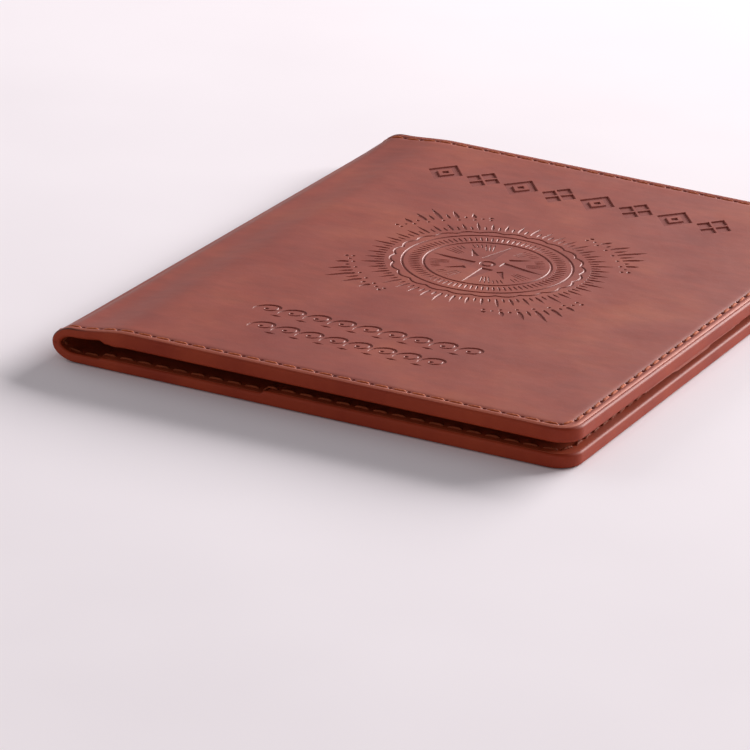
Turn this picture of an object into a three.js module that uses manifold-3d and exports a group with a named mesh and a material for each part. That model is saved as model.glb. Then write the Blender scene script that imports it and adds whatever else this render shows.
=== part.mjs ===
// A bifold passport holder in brown leather, closed and lying on its back cover.
//
// The frame is in millimetres: X runs from the spine (-X) to the fore edge (+X), Y from the
// tail (-Y) to the head (+Y), and Z up from the surface that the holder lies on. The origin is
// at the middle of the closed holder's underside.
//
// One leather skin, one lining and one seam run round the whole holder. The leather bends
// along two lines in its rounded spine, so each of them is made as three pieces: the back
// cover's, the spine's and the front cover's. Both covers are made the same way, outer face
// down, and the front cover is turned over.
import * as THREE from 'three';
import { mergeVertices } from 'three/addons/utils/BufferGeometryUtils.js';
import Module from 'manifold-3d';

// Overall size, closed.
const WIDTH = 108.4; // from the outside of the spine to the fore edge
const HEIGHT = 142; // from head to tail
const THICKNESS = 8.1; // over both covers
const CORNER_RADIUS = 5; // of the covers' corners at the fore edge

// The layers of a cover, from the outside in.
const SKIN = 1; // outer leather
const BOARD = 0.6; // stiffener
const LINING = 0.6; // inner leather
const SLEEVE = 0.6; // the flap that holds the passport's back cover
const CARD_PANEL = 0.4; // the sheet that the card slots are sewn to
const CARD_STRIP = 0.3; // the sheet in front of each card slot
const LAYER_GAP = 0.03; // between layers that lie on each other

// The painted edge and the seam.
const EDGE_PAINT = 0.5; // how far the paint stands out from the cut edge
const PAINT_GAP = 0.05;
const SEAM_INSET = 2.2; // from the edge to the middle of the seam
const THREAD_WIDTH = 0.7;
const THREAD_HEIGHT = 0.28;
const GROOVE_SIDE = 0.15; // room beside the thread in its groove
const GROOVE_DEPTH = 0.4;
const THREAD_SUNK = 0.05; // from the leather's face to the top of the thread
const THREAD_CLIMB = 0.9; // length over which a thread comes up onto a pocket's edge

// Where things start, measured from the outside of the spine.
const RAMP_START = 9.2; // the lining leaves the skin
const RAMP_END = 10.5; // and lies on the board from here
const BOARD_CLEARANCE = 0.2; // from the ramp's end to the board
const CARD_PANEL_START = 11;
const CARD_STRIP_START = 12.5;
const SIDE_SEAM_START = 14; // the seam beside the card slots' closed ends
const SLEEVE_START = 45.4;

// The card slots, three of them, one below the other.
const SLOT_NAMES = ['top', 'middle', 'bottom'];
const FIRST_SLOT_TOP = 24; // the first strip's open edge, up from the middle of the cover
const SLOT_STEP = 15; // from one open edge to the next
const SLOT_DEPTH = 46; // from a strip's open edge to the end of that strip
const STRIP_RAMP = 1.6; // length of the step where a strip comes down from the one under it
const STRIP_LEVEL = CARD_STRIP + LAYER_GAP; // what each strip below adds

// The fold. The spine is half round, and bends along two lines.
const SPINE_RADIUS = THICKNESS / 2;
const SPINE_X = SPINE_RADIUS - WIDTH / 2; // the middle of the half round
const FOLD_ANGLE = Math.PI / 4; // from the flat of a cover to its fold line, round the spine
const FOLD_GAP = 0.15; // half of the gap at a fold line

// Fineness of the round stretches.
const ARC_STEPS = 8;
const CORNER_STEPS = 10;

const OVERCUT = 1; // how far a cutting shape passes what it cuts

// Places that follow from the sizes above.
const WALL = SKIN + LAYER_GAP + LINING; // skin and lining, as in the spine
const BOARD_LIFT = BOARD + LAYER_GAP; // what the board lifts the lining by
const PANEL_FLOOR = WALL + BOARD_LIFT + LAYER_GAP; // where a pocket sheet lies
const STRIP_FLOOR = PANEL_FLOOR + CARD_PANEL + LAYER_GAP; // where the lowest strip lies
const BACK_STACK = PANEL_FLOOR + SLEEVE; // the back cover's thickness
const FRONT_STACK = STRIP_FLOOR + CARD_STRIP; // the front cover's thickness at its tail
const STACK_INSET = EDGE_PAINT + PAINT_GAP; // from the edge to the layers' cut edges
const fromSpine = (distance) => distance - WIDTH / 2;

const LEATHER = new THREE.MeshStandardMaterial({ color: 0x8f4a34, roughness: 0.42 });
const LINING_LEATHER = new THREE.MeshStandardMaterial({ color: 0x7d3d2a, roughness: 0.5 });
const PAINT = new THREE.MeshStandardMaterial({ color: 0x8a3f2a, roughness: 0.3 });
const THREAD = new THREE.MeshStandardMaterial({ color: 0xa85a38, roughness: 0.7 });
const CARDBOARD = new THREE.MeshStandardMaterial({ color: 0x9c8a72, roughness: 0.9 });

const wasm = await Module();
wasm.setup();

// ---- Shapes and solids ------------------------------------------------------------------

function toSolid(geometry) {
  const bare = geometry.clone();
  bare.deleteAttribute('normal');
  bare.deleteAttribute('uv');
  const merged = mergeVertices(bare, 1e-4);
  return new wasm.Manifold(new wasm.Mesh({
    numProp: 3,
    vertProperties: merged.attributes.position.array,
    triVerts: new Uint32Array(merged.index.array),
  }));
}

function toGeometry(solid) {
  const mesh = solid.getMesh();
  const geometry = new THREE.BufferGeometry();
  const position = new THREE.BufferAttribute(new Float32Array(mesh.vertProperties), 3);
  geometry.setAttribute('position', position);
  geometry.setIndex(new THREE.BufferAttribute(new Uint32Array(mesh.triVerts), 1));
  geometry.computeVertexNormals();
  return geometry;
}

const shapeOf = (points) => new THREE.Shape(points.map(([u, v]) => new THREE.Vector2(u, v)));

function extrude(shape, depth) {
  const options = { depth, bevelEnabled: false, curveSegments: CORNER_STEPS };
  return new THREE.ExtrudeGeometry(shape, options);
}

// An outline in X and Y, made solid from zLow to zHigh.
const plan = (shape, zLow, zHigh) =>
  toSolid(extrude(shape, zHigh - zLow).translate(0, 0, zLow));

// A cross-section in X and Z, made solid from yLow to yHigh.
const across = (shape, yLow, yHigh) =>
  toSolid(extrude(shape, yHigh - yLow).rotateX(Math.PI / 2).translate(0, yHigh, 0));

// A cross-section in Y and Z, made solid from xLow to xHigh.
function along(shape, xLow, xHigh) {
  const geometry = extrude(shape, xHigh - xLow);
  geometry.rotateX(Math.PI / 2).rotateZ(Math.PI / 2).translate(xLow, 0, 0);
  return toSolid(geometry);
}

// The outline of a cover drawn in from its head, tail and fore edge. Its spine side is past
// the fold, so that whatever it is cut from ends there by itself.
function coverOutline(inset) {
  const spine = -WIDTH / 2 - OVERCUT;
  const fore = WIDTH / 2 - inset;
  const head = HEIGHT / 2 - inset;
  const radius = Math.max(CORNER_RADIUS - inset, 0.2);
  const shape = new THREE.Shape();
  shape.moveTo(spine, -head);
  shape.lineTo(fore - radius, -head);
  shape.absarc(fore - radius, radius - head, radius, -Math.PI / 2, 0);
  shape.absarc(fore - radius, head - radius, radius, 0, Math.PI / 2);
  shape.lineTo(spine, head);
  return shape;
}

const inOutline = (solid, inset) =>
  solid.intersect(plan(coverOutline(inset), -OVERCUT, THICKNESS));

// A strip of the given width along the seam, on the head, fore edge and tail.
function onSeam(solid, width) {
  const outer = inOutline(solid, SEAM_INSET - width / 2);
  const middle = plan(coverOutline(SEAM_INSET + width / 2), -2 * OVERCUT, THICKNESS + OVERCUT);
  return outer.subtract(middle);
}

// ---- The cross-section of a cover -------------------------------------------------------

// Points at one depth under the cover's outer face, from the fold line round the spine's
// curve and out to the fore edge. Beyond the ramp they are lifted, as the lining is by the
// board, and beyond each step's start they rise again: at once, or over the climb before it.
function pathAtDepth(depth, lift = 0, steps = [], climb = 0) {
  const radius = SPINE_RADIUS - depth;
  const last = FOLD_ANGLE - FOLD_GAP / SPINE_RADIUS;
  const points = [];
  for (let i = 0; i <= ARC_STEPS; i++) {
    const angle = last * (1 - i / ARC_STEPS);
    const x = SPINE_X - radius * Math.sin(angle);
    points.push([x, SPINE_RADIUS - radius * Math.cos(angle)]);
  }
  let z = depth + lift;
  if (lift > 0) {
    points.push([fromSpine(RAMP_START), depth]);
    points.push([fromSpine(RAMP_END), z]);
  }
  for (const { start, rise } of steps) {
    points.push([start - climb, z]);
    z += rise;
    points.push([start, z]);
  }
  points.push([WIDTH / 2 + OVERCUT, z]);
  return points;
}

const between = (outer, inner) => shapeOf([...outer, ...[...inner].reverse()]);

// The same cross-section, head to tail.
const fullHeight = (shape) => across(shape, -HEIGHT / 2 - OVERCUT, HEIGHT / 2 + OVERCUT);

function skin() {
  const sheet = inOutline(fullHeight(between(pathAtDepth(0), pathAtDepth(SKIN))), STACK_INSET);
  const trench = between(pathAtDepth(-OVERCUT), pathAtDepth(GROOVE_DEPTH));
  return sheet.subtract(onSeam(fullHeight(trench), THREAD_WIDTH + 2 * GROOVE_SIDE));
}

function board() {
  const start = fromSpine(RAMP_END) + BOARD_CLEARANCE;
  const bottom = SKIN + LAYER_GAP;
  const sheet = between(
    [[start, bottom], [WIDTH, bottom]],
    [[start, bottom + BOARD], [WIDTH, bottom + BOARD]],
  );
  return inOutline(fullHeight(sheet), STACK_INSET);
}

function lining() {
  const outer = pathAtDepth(SKIN + LAYER_GAP, BOARD_LIFT);
  const inner = pathAtDepth(WALL, BOARD_LIFT);
  return inOutline(fullHeight(between(outer, inner)), STACK_INSET);
}

// The paint on the cut edges covers the layers from the skin to the innermost pocket sheet.
function edgePaint(steps) {
  const whole = fullHeight(between(pathAtDepth(0), pathAtDepth(WALL, BOARD_LIFT, steps)));
  const layers = plan(coverOutline(EDGE_PAINT), -2 * OVERCUT, THICKNESS + OVERCUT);
  return inOutline(whole, 0).subtract(layers);
}

function outerThread() {
  const outer = pathAtDepth(THREAD_SUNK);
  const inner = pathAtDepth(THREAD_SUNK + THREAD_HEIGHT);
  return onSeam(fullHeight(between(outer, inner)), THREAD_WIDTH);
}

// The cross-section of the thread that lies on a cover's inner face.
const innerThreadSection = (steps) => between(
  pathAtDepth(WALL + LAYER_GAP, BOARD_LIFT, steps, THREAD_CLIMB),
  pathAtDepth(WALL + LAYER_GAP + THREAD_HEIGHT, BOARD_LIFT, steps, THREAD_CLIMB),
);

// A pocket sheet that lies flat from its open edge to the fore edge.
function pocketSheet(start, floor, thickness) {
  const sheet = between(
    [[start, floor], [WIDTH, floor]],
    [[start, floor + thickness], [WIDTH, floor + thickness]],
  );
  return inOutline(fullHeight(sheet), STACK_INSET);
}

// ---- The card slots ---------------------------------------------------------------------

const stripTop = (index) => FIRST_SLOT_TOP - index * SLOT_STEP;
const stripEnd = (index) =>
  (index === SLOT_NAMES.length - 1 ? -HEIGHT / 2 - OVERCUT : stripTop(index) - SLOT_DEPTH);

const heightOf = (level) => STRIP_FLOOR + level * STRIP_LEVEL;

// The strips' lines are corners in Y and Z, from head to tail. This is the last stretch of
// one, which comes down from a level past the ends of the first `count` strips.
function downPastEnds(level, count) {
  const corners = [];
  for (let i = 0; i < count; i++) {
    corners.push([stripEnd(i), heightOf(level - i)]);
    corners.push([stripEnd(i) - STRIP_RAMP, heightOf(level - i - 1)]);
  }
  corners.push([-HEIGHT / 2 - OVERCUT, heightOf(level - count)]);
  return corners;
}

// The line that one strip lies on, over the ends of the strips above it.
const lineUnder = (index) =>
  [[stripTop(index), heightOf(index)], ...downPastEnds(index, index)];

// The line over the card panel and all the strips.
function lineOverAll() {
  const corners = [[HEIGHT / 2 + OVERCUT, heightOf(0)]];
  for (let i = 0; i < SLOT_NAMES.length; i++) {
    corners.push([stripTop(i) + STRIP_RAMP, heightOf(i)]);
    corners.push([stripTop(i), heightOf(i + 1)]);
  }
  return corners.concat(downPastEnds(SLOT_NAMES.length, SLOT_NAMES.length - 1));
}

const raised = (line, height) => line.map(([y, z]) => [y, z + height]);

function cardStrip(index) {
  const line = lineUnder(index);
  const end = stripEnd(index);
  const body = along(
    between(line, raised(line, CARD_STRIP)),
    fromSpine(CARD_STRIP_START),
    WIDTH / 2,
  );
  const keep = plan(
    shapeOf([[-WIDTH, end], [WIDTH, end], [WIDTH, HEIGHT], [-WIDTH, HEIGHT]]),
    -OVERCUT,
    THICKNESS,
  );
  return inOutline(body.intersect(keep), STACK_INSET);
}

// The seam beside the slots' closed ends, from the first open edge to the tail seam.
function sideSeam() {
  const line = lineOverAll().filter(([y]) => y <= stripTop(0));
  const low = fromSpine(SIDE_SEAM_START) - THREAD_WIDTH / 2;
  const thread = along(
    between(raised(line, LAYER_GAP), raised(line, LAYER_GAP + THREAD_HEIGHT)),
    low,
    low + THREAD_WIDTH,
  );
  const clearOfTailSeam = coverOutline(SEAM_INSET + THREAD_WIDTH);
  return thread.intersect(plan(clearOfTailSeam, -OVERCUT, THICKNESS));
}

// The front cover's inner thread lies on the card panel at the head, on the lowest strip at
// the tail, and climbs over all the strips on its way down the fore edge.
function frontInnerThread() {
  const panelStep = { start: fromSpine(CARD_PANEL_START), rise: CARD_PANEL + LAYER_GAP };
  const stripStep = { start: fromSpine(CARD_STRIP_START), rise: STRIP_LEVEL };
  const bend = HEIGHT / 2 - 2 * CORNER_RADIUS;
  const head = across(innerThreadSection([panelStep]), bend, HEIGHT / 2);
  const tail = across(innerThreadSection([panelStep, stripStep]), -HEIGHT / 2, -bend);
  const line = lineOverAll();
  const fore = along(
    between(line, raised(line, THREAD_HEIGHT)),
    WIDTH / 2 - 2 * CORNER_RADIUS,
    WIDTH / 2,
  );
  const onlyFore = plan(
    shapeOf([[0, -bend], [WIDTH, -bend], [WIDTH, bend], [0, bend]]),
    -OVERCUT,
    THICKNESS,
  );
  return onSeam(head.add(tail).add(fore.intersect(onlyFore)), THREAD_WIDTH);
}

// ---- The spine --------------------------------------------------------------------------

// The spine's own stretch of a layer between two depths, from one fold line to the other.
function spineLayer(outerDepth, innerDepth, yLow, yHigh) {
  const first = FOLD_ANGLE + FOLD_GAP / SPINE_RADIUS;
  const sweep = Math.PI - 2 * first;
  const arc = (depth) => {
    const radius = SPINE_RADIUS - depth;
    const points = [];
    for (let i = 0; i <= 2 * ARC_STEPS; i++) {
      const angle = first + (sweep * i) / (2 * ARC_STEPS);
      const z = SPINE_RADIUS - radius * Math.cos(angle);
      points.push([SPINE_X - radius * Math.sin(angle), z]);
    }
    return points;
  };
  return across(between(arc(outerDepth), arc(innerDepth)), yLow, yHigh);
}

const ENDS = { head: 1, tail: -1 };
const stackEnd = HEIGHT / 2 - STACK_INSET;
const paintStart = HEIGHT / 2 - EDGE_PAINT;
const seamLine = HEIGHT / 2 - SEAM_INSET;

// A stretch of the spine near its head or tail, from one distance to another.
function spineBand(end, outerDepth, innerDepth, near, far) {
  const [low, high] = end > 0 ? [near, far] : [-far, -near];
  return spineLayer(outerDepth, innerDepth, low, high);
}

function spineSkin() {
  let sheet = spineLayer(0, SKIN, -stackEnd, stackEnd);
  const half = THREAD_WIDTH / 2 + GROOVE_SIDE;
  for (const end of Object.values(ENDS)) {
    const groove = spineBand(end, -OVERCUT, GROOVE_DEPTH, seamLine - half, seamLine + half);
    sheet = sheet.subtract(groove);
  }
  return sheet;
}

// ---- Assembly ---------------------------------------------------------------------------

function piece(name, solid, material) {
  const mesh = new THREE.Mesh(toGeometry(solid), material);
  mesh.name = name;
  return mesh;
}

const sleeveStep = { start: fromSpine(SLEEVE_START), rise: BACK_STACK - WALL - BOARD_LIFT };
const cardStep = { start: fromSpine(CARD_PANEL_START), rise: FRONT_STACK - WALL - BOARD_LIFT };

// The pieces that both covers have, outer face down.
function coverGroup(side, paintSteps) {
  const cover = new THREE.Group();
  cover.add(piece(`${side}_cover_leather`, skin(), LEATHER));
  cover.add(piece(`${side}_stiffener_board`, board(), CARDBOARD));
  cover.add(piece(`${side}_lining`, lining(), LINING_LEATHER));
  cover.add(piece(`${side}_edge_paint`, edgePaint(paintSteps), PAINT));
  cover.add(piece(`${side}_outer_stitching`, outerThread(), THREAD));
  return cover;
}

function backCover() {
  const cover = coverGroup('back', [sleeveStep]);
  const sleeve = pocketSheet(fromSpine(SLEEVE_START), PANEL_FLOOR, SLEEVE);
  const thread = onSeam(fullHeight(innerThreadSection([sleeveStep])), THREAD_WIDTH);
  cover.add(piece('passport_sleeve', sleeve, LINING_LEATHER));
  cover.add(piece('back_inner_stitching', thread, THREAD));
  return cover;
}

function frontCover() {
  const cover = coverGroup('front', [cardStep]);
  const panel = pocketSheet(fromSpine(CARD_PANEL_START), PANEL_FLOOR, CARD_PANEL);
  cover.add(piece('card_panel', panel, LINING_LEATHER));
  SLOT_NAMES.forEach((name, index) => {
    cover.add(piece(`card_slot_${name}`, cardStrip(index), LINING_LEATHER));
  });
  cover.add(piece('card_slot_side_stitching', sideSeam(), THREAD));
  cover.add(piece('front_inner_stitching', frontInnerThread(), THREAD));
  cover.scale.z = -1;
  cover.position.z = THICKNESS;
  return cover;
}

function spine() {
  const group = new THREE.Group();
  const liningSheet = spineLayer(SKIN + LAYER_GAP, WALL, -stackEnd, stackEnd);
  group.add(piece('spine_leather', spineSkin(), LEATHER));
  group.add(piece('spine_lining', liningSheet, LINING_LEATHER));
  const half = THREAD_WIDTH / 2;
  const outerDepths = [THREAD_SUNK, THREAD_SUNK + THREAD_HEIGHT];
  const innerDepths = [WALL + LAYER_GAP, WALL + LAYER_GAP + THREAD_HEIGHT];
  for (const [name, end] of Object.entries(ENDS)) {
    const paint = spineBand(end, 0, WALL, paintStart, HEIGHT / 2);
    const outer = spineBand(end, ...outerDepths, seamLine - half, seamLine + half);
    const inner = spineBand(end, ...innerDepths, seamLine - half, seamLine + half);
    group.add(piece(`spine_edge_paint_${name}`, paint, PAINT));
    group.add(piece(`spine_outer_stitching_${name}`, outer, THREAD));
    group.add(piece(`spine_inner_stitching_${name}`, inner, THREAD));
  }
  return group;
}

const holder = new THREE.Group();
holder.add(backCover());
holder.add(spine());
holder.add(frontCover());

export default holder;
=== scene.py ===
# %% [markdown]
# # A passport holder in brown pull-up leather
#
# The holder is a small bifold case: two covers and a soft round spine, all wrapped in one
# piece of smooth leather. Inside are a lining, a sleeve for the passport and three card slots.
# The cut edges are painted, and one seam runs round the whole thing.
#
# This lesson builds it as a leather worker would think of it: every layer is a flat pattern
# first, and is then bent round the same cross-section. So the script draws in two numbers on
# the flat pattern and a third one for how deep a point lies under the outer face.

# %% Load the frame
import math

import bmesh
import bpy
import numpy as np
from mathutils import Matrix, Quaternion, Vector, kdtree
from mathutils.geometry import delaunay_2d_cdt


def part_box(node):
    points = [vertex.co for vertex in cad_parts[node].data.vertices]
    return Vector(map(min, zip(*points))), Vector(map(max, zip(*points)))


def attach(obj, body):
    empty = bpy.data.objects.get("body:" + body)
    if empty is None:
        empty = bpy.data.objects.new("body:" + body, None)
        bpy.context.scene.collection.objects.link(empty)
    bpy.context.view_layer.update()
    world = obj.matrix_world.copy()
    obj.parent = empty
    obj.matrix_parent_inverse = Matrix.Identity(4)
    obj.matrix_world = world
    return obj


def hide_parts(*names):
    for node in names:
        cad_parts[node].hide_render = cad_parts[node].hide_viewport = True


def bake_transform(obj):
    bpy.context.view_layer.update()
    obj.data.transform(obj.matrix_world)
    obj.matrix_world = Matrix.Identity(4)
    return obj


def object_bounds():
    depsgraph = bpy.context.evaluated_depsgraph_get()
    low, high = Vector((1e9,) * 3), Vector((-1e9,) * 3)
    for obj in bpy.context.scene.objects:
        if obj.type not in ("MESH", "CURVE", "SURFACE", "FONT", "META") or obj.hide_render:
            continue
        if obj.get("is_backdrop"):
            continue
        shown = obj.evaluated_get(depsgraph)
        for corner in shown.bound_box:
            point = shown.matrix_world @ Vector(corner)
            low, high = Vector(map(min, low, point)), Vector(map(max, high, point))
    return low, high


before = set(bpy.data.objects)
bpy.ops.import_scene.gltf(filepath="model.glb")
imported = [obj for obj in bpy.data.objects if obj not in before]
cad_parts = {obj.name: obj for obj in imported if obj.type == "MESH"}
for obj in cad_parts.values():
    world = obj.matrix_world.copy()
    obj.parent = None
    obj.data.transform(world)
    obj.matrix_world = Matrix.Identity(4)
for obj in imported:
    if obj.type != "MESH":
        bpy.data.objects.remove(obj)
frame_low, frame_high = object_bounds()

# %% [markdown]
# ## Sizes
#
# The frame already holds the true places of every layer, so they are read from it and turned
# into millimetres, which is how leather is measured. Only the softness of the leather is new
# here: how the spine slumps, and how far the front cover has warped.

# %% Read the layers' places in millimetres
MM = 0.001


def corners_of(node):
    low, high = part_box(node)
    return low / MM, high / MM


spine_x = frame_low.x / MM
fore_x = frame_high.x / MM
head_y = frame_high.y / MM
top_z = frame_high.z / MM

board_low, board_high = corners_of("back_stiffener_board")
sleeve_low, sleeve_high = corners_of("passport_sleeve")
panel_low, panel_high = corners_of("card_panel")
seam_low, seam_high = corners_of("spine_outer_stitching_head")
strip_corners = [corners_of(f"card_slot_{name}") for name in ("top", "middle", "bottom")]
side_low, side_high = corners_of("card_slot_side_stitching")

seam_inset = head_y - (seam_low.y + seam_high.y) / 2
thread_width = seam_high.y - seam_low.y
skin_depth = board_low.z
board_depth = board_high.z
lining_depth = sleeve_low.z
sleeve_depth = sleeve_high.z
panel_depth = top_z - panel_high.z
print(f"closed: {fore_x - spine_x:.1f} x {2 * head_y:.1f} x {top_z:.1f} mm")
print(f"seam {seam_inset:.2f} mm from the edge, layers at {skin_depth:.2f} to {panel_depth:.2f}")

# %% [markdown]
# ## The cross-section
#
# A real spine isn't a perfect half circle. Nothing stiffens it, so its lower half is drawn
# out long by the weight of the front cover, and its upper half sinks below the cover's face
# until the stiff board lifts it again. A cloth simulation could find that shape, but it would
# find a slightly different one for every layer. Two quarter ellipses and one smooth rise
# describe it for all of them. Each half starts at the spine's tip and runs to the fore edge.

# %% Bend a flat point round the spine
# The height of the spine's tip and how far it stands out, the reach of each half from there
# to its cover, and the height and the run of the rise from the slumped half to the cover.
TIP_Z = 3.6
SPINE_BULGE = 0.5
LOWER_REACH = 5.3
UPPER_REACH = 4.6
SLUMP_Z = 7.2
RISE_LENGTH = 12.0

# How deep the face sags beside the spine, over which runs that begins and fades, the power
# that keeps it away from the two ends, how far those tilt, and how far the cover droops.
SAG = 0.9
SAG_BEGINS = 1.6
SAG_FADES = 11
END_GRIP = 10
TILT = 0.18
COVER_DROP = 1.2


def quarter_length(a, b):
    h = ((a - b) / (a + b)) ** 2
    return math.pi / 4 * (a + b) * (1 + 3 * h / (10 + math.sqrt(4 - 3 * h)))


tip_x = spine_x - SPINE_BULGE
lower_x = tip_x + LOWER_REACH
upper_x = tip_x + UPPER_REACH
lower_tip = lower_x - quarter_length(LOWER_REACH, TIP_Z)
upper_tip = upper_x - quarter_length(UPPER_REACH, SLUMP_Z - TIP_Z)


def smooth(t):
    t = np.clip(t, 0, 1)
    return t * t * (3 - 2 * t)


def round_the_spine(x, turn_x, tip, reach, height):
    """Place and inward normal on a quarter ellipse, which is flat at turn_x."""
    angle = np.clip((turn_x - x) / (turn_x - tip), 0, 1) * math.pi / 2
    px, pz = turn_x - reach * np.sin(angle), height * (1 - np.cos(angle))
    nx, nz = height * np.sin(angle), reach * np.cos(angle)
    size = np.hypot(nx, nz)
    return px, pz, nx / size, nz / size


def back_place(x, y, depth):
    """Flat pattern to space, for the back cover and the lower half of the spine."""
    px, pz, nx, nz = round_the_spine(x, lower_x, lower_tip, LOWER_REACH, TIP_Z)
    flat = x >= lower_x
    px = np.where(flat, x, px + nx * depth)
    pz = np.where(flat, depth, pz + nz * depth)
    return np.stack([px, y + 0 * px, pz], -1)


def front_place(x, y, depth):
    """The same for the front cover and the upper half of the spine, outer face up."""
    bend = SLUMP_Z - TIP_Z
    px, pz, nx, nz = round_the_spine(x, upper_x, upper_tip, UPPER_REACH, bend)
    t = np.clip((x - upper_x) / RISE_LENGTH, 0, 1)
    slope = (top_z - SLUMP_Z) * 6 * t * (1 - t) / RISE_LENGTH
    size = np.hypot(slope, 1)
    face = SLUMP_Z + (top_z - SLUMP_Z) * smooth(t)
    flat = x >= upper_x
    px = np.where(flat, x + slope / size * depth, px + nx * depth)
    pz = np.where(flat, face - depth / size, SLUMP_Z - pz - nz * depth)
    across = np.clip((px - upper_x) / (fore_x - upper_x), 0, 1)
    along = (y + head_y) / (2 * head_y)
    middle = 1 - np.abs(y / head_y) ** END_GRIP
    beside = smooth((px - tip_x) / SAG_BEGINS) * (1 - smooth((px - upper_x) / SAG_FADES))
    sunk = (SAG * middle - TILT * y / head_y) * beside
    return np.stack([px, y + 0 * px, pz - COVER_DROP * across * along - sunk], -1)


print(f"the spine's tip is at x {tip_x:.1f}, z {TIP_Z} mm")

# %% [markdown]
# ## Outlines
#
# Every layer of a cover has the same outline, only cut a little further in, with two round
# corners at the fore edge. The seam and the painted edge follow the same line. A curve object
# could be offset for each of them, but then the corners would have to be matched by hand. So
# one helper gives points and outward directions along the edge, at any distance from it.

# %% Walk along the edge at some inset
CORNER = 5.0
SMALLEST_CORNER = 0.3
CORNER_DENSITY = 1.4
TOO_CLOSE = 0.05
EDGE_INSET = 0.42
EDGE_STEP = 0.9


def edge_walk(inset, start_x, step):
    """Points from the spine's tip along tail, fore edge and head, with outward directions."""
    fore, head = fore_x - inset, head_y - inset
    radius = max(CORNER - inset, SMALLEST_CORNER)
    run = max(2, round((fore - radius - start_x) / step))
    rise = max(2, round(2 * (head - radius) / step))
    turn = max(4, round(radius * math.pi / 2 / step * CORNER_DENSITY))
    xs = np.linspace(start_x, fore - radius, run + 1)
    bend = np.linspace(-math.pi / 2, 0, turn + 1)[1:-1]
    ys = np.linspace(radius - head, head - radius, rise + 1)
    tail = [((x, -head), (0, -1)) for x in xs]
    corner = [(
        (fore - radius + radius * math.cos(a), radius - head + radius * math.sin(a)),
        (math.cos(a), math.sin(a)),
    ) for a in bend]
    side = [((fore, y), (1, 0)) for y in ys]
    walk = tail + corner + side
    walk += [((x, -y), (nx, -ny)) for (x, y), (nx, ny) in reversed(tail + corner)]
    return np.array([p for p, _ in walk]), np.array([n for _, n in walk])


def distance_in(x, y):
    """How far a flat point lies in from head, tail or fore edge."""
    dx, dy = fore_x - CORNER - x, head_y - CORNER - np.abs(y)
    corner = CORNER - np.hypot(np.minimum(dx, 0), np.minimum(dy, 0))
    return np.where((dx < 0) & (dy < 0), corner, np.minimum(dx, dy) + CORNER)


def patch(x_low, y_low, y_high, inset, step):
    """A closed outline: the cover's outline, cut off at x_low, y_low and y_high."""
    points, _ = edge_walk(inset, x_low, step)
    points[:, 1] = np.clip(points[:, 1], y_low, y_high)
    keep = [points[0]]
    for point in points[1:]:
        if np.hypot(*(point - keep[-1])) > TOO_CLOSE:
            keep.append(point)
    points = np.array(keep)
    count = max(2, round((points[-1, 1] - points[0, 1]) / step))
    closing = np.linspace(points[-1, 1], points[0, 1], count + 1)[1:-1]
    return np.vstack([points, [(x_low, y) for y in closing]])


leather_outline = patch(lower_tip, -head_y, head_y, EDGE_INSET, EDGE_STEP)
print("the outline of half the leather has", len(leather_outline), "points")

# %% [markdown]
# ## From a pattern to a mesh
#
# A flat pattern becomes a mesh in one go: its outline, its pressed shapes and a loose grid of
# points are triangulated together, so that every pressed line is a true edge of the mesh. The
# outer face gets all that detail. The inner face, which is glued down, only needs the outline.

# %% Triangulate a flat pattern
KEEP_INSIDE = 1
SAME_POINT = 1e-5


def triangulate(outline, loops=(), spots=()):
    """Vertices, faces and, for each given point, the vertex that it became."""
    points = [tuple(p) for p in outline]
    edges = []
    for loop in loops:
        start = len(points)
        points += [tuple(p) for p in loop]
        count = len(loop)
        edges += [(start + i, start + (i + 1) % count) for i in range(count)]
    points += [tuple(p) for p in spots]
    border = [list(range(len(outline)))]
    made = delaunay_2d_cdt([Vector(p) for p in points], edges, border,
                           KEEP_INSIDE, SAME_POINT)
    vertices, faces, origins = made[0], made[2], made[3]
    became = np.full(len(points), -1)
    for vertex, given in enumerate(origins):
        for index in given:
            became[index] = vertex
    return np.array([(v.x, v.y) for v in vertices]), faces, became


def inside(points, loop):
    """Which points lie inside a loop, by counting crossings."""
    x, y = points[:, 0], points[:, 1]
    result = np.zeros(len(points), bool)
    near = (x > loop[:, 0].min()) & (x < loop[:, 0].max())
    near &= (y > loop[:, 1].min()) & (y < loop[:, 1].max())
    x, y = x[near], y[near]
    odd = np.zeros(len(x), bool)
    for (x0, y0), (x1, y1) in zip(loop, np.roll(loop, -1, 0)):
        crosses = (y0 > y) != (y1 > y)
        if crosses.any():
            at = x0 + (y - y0) * (x1 - x0) / (y1 - y0)
            odd ^= crosses & (x < at)
    result[near] = odd
    return result


def grid(x_low, x_high, y_low, y_high, step_x, step_y, inset):
    """Loose points in a box, kept at least inset from the cover's edge."""
    xs = np.arange(x_low + step_x, x_high - step_x / 4, step_x)
    ys = np.arange(y_low + step_y, y_high - step_y / 4, step_y)
    points = np.array([(x, y) for x in xs for y in ys]).reshape(-1, 2)
    return points[distance_in(points[:, 0], points[:, 1]) > inset]


print("inside a unit lozenge:", inside(np.array([[0.2, 0.3], [0.8, 0.8]]),
                                       np.array([[1, 0], [0, 1], [-1, 0], [0, -1]])))

# %% [markdown]
# ## From a mesh to a piece
#
# Leather is cut flat, and its grain bends with it. So every point of a piece keeps its place
# on the flat pattern as an attribute, and the materials read that instead of the place in
# space. Two more attributes mark where a piece is pressed, a mark that also carries painted
# shade, and where its rim is lighter, partly from pull-up and partly as a painted highlight.

# %% Make the object, with its place on the pattern kept as an attribute
SHARP_ANGLE = 38


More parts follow.
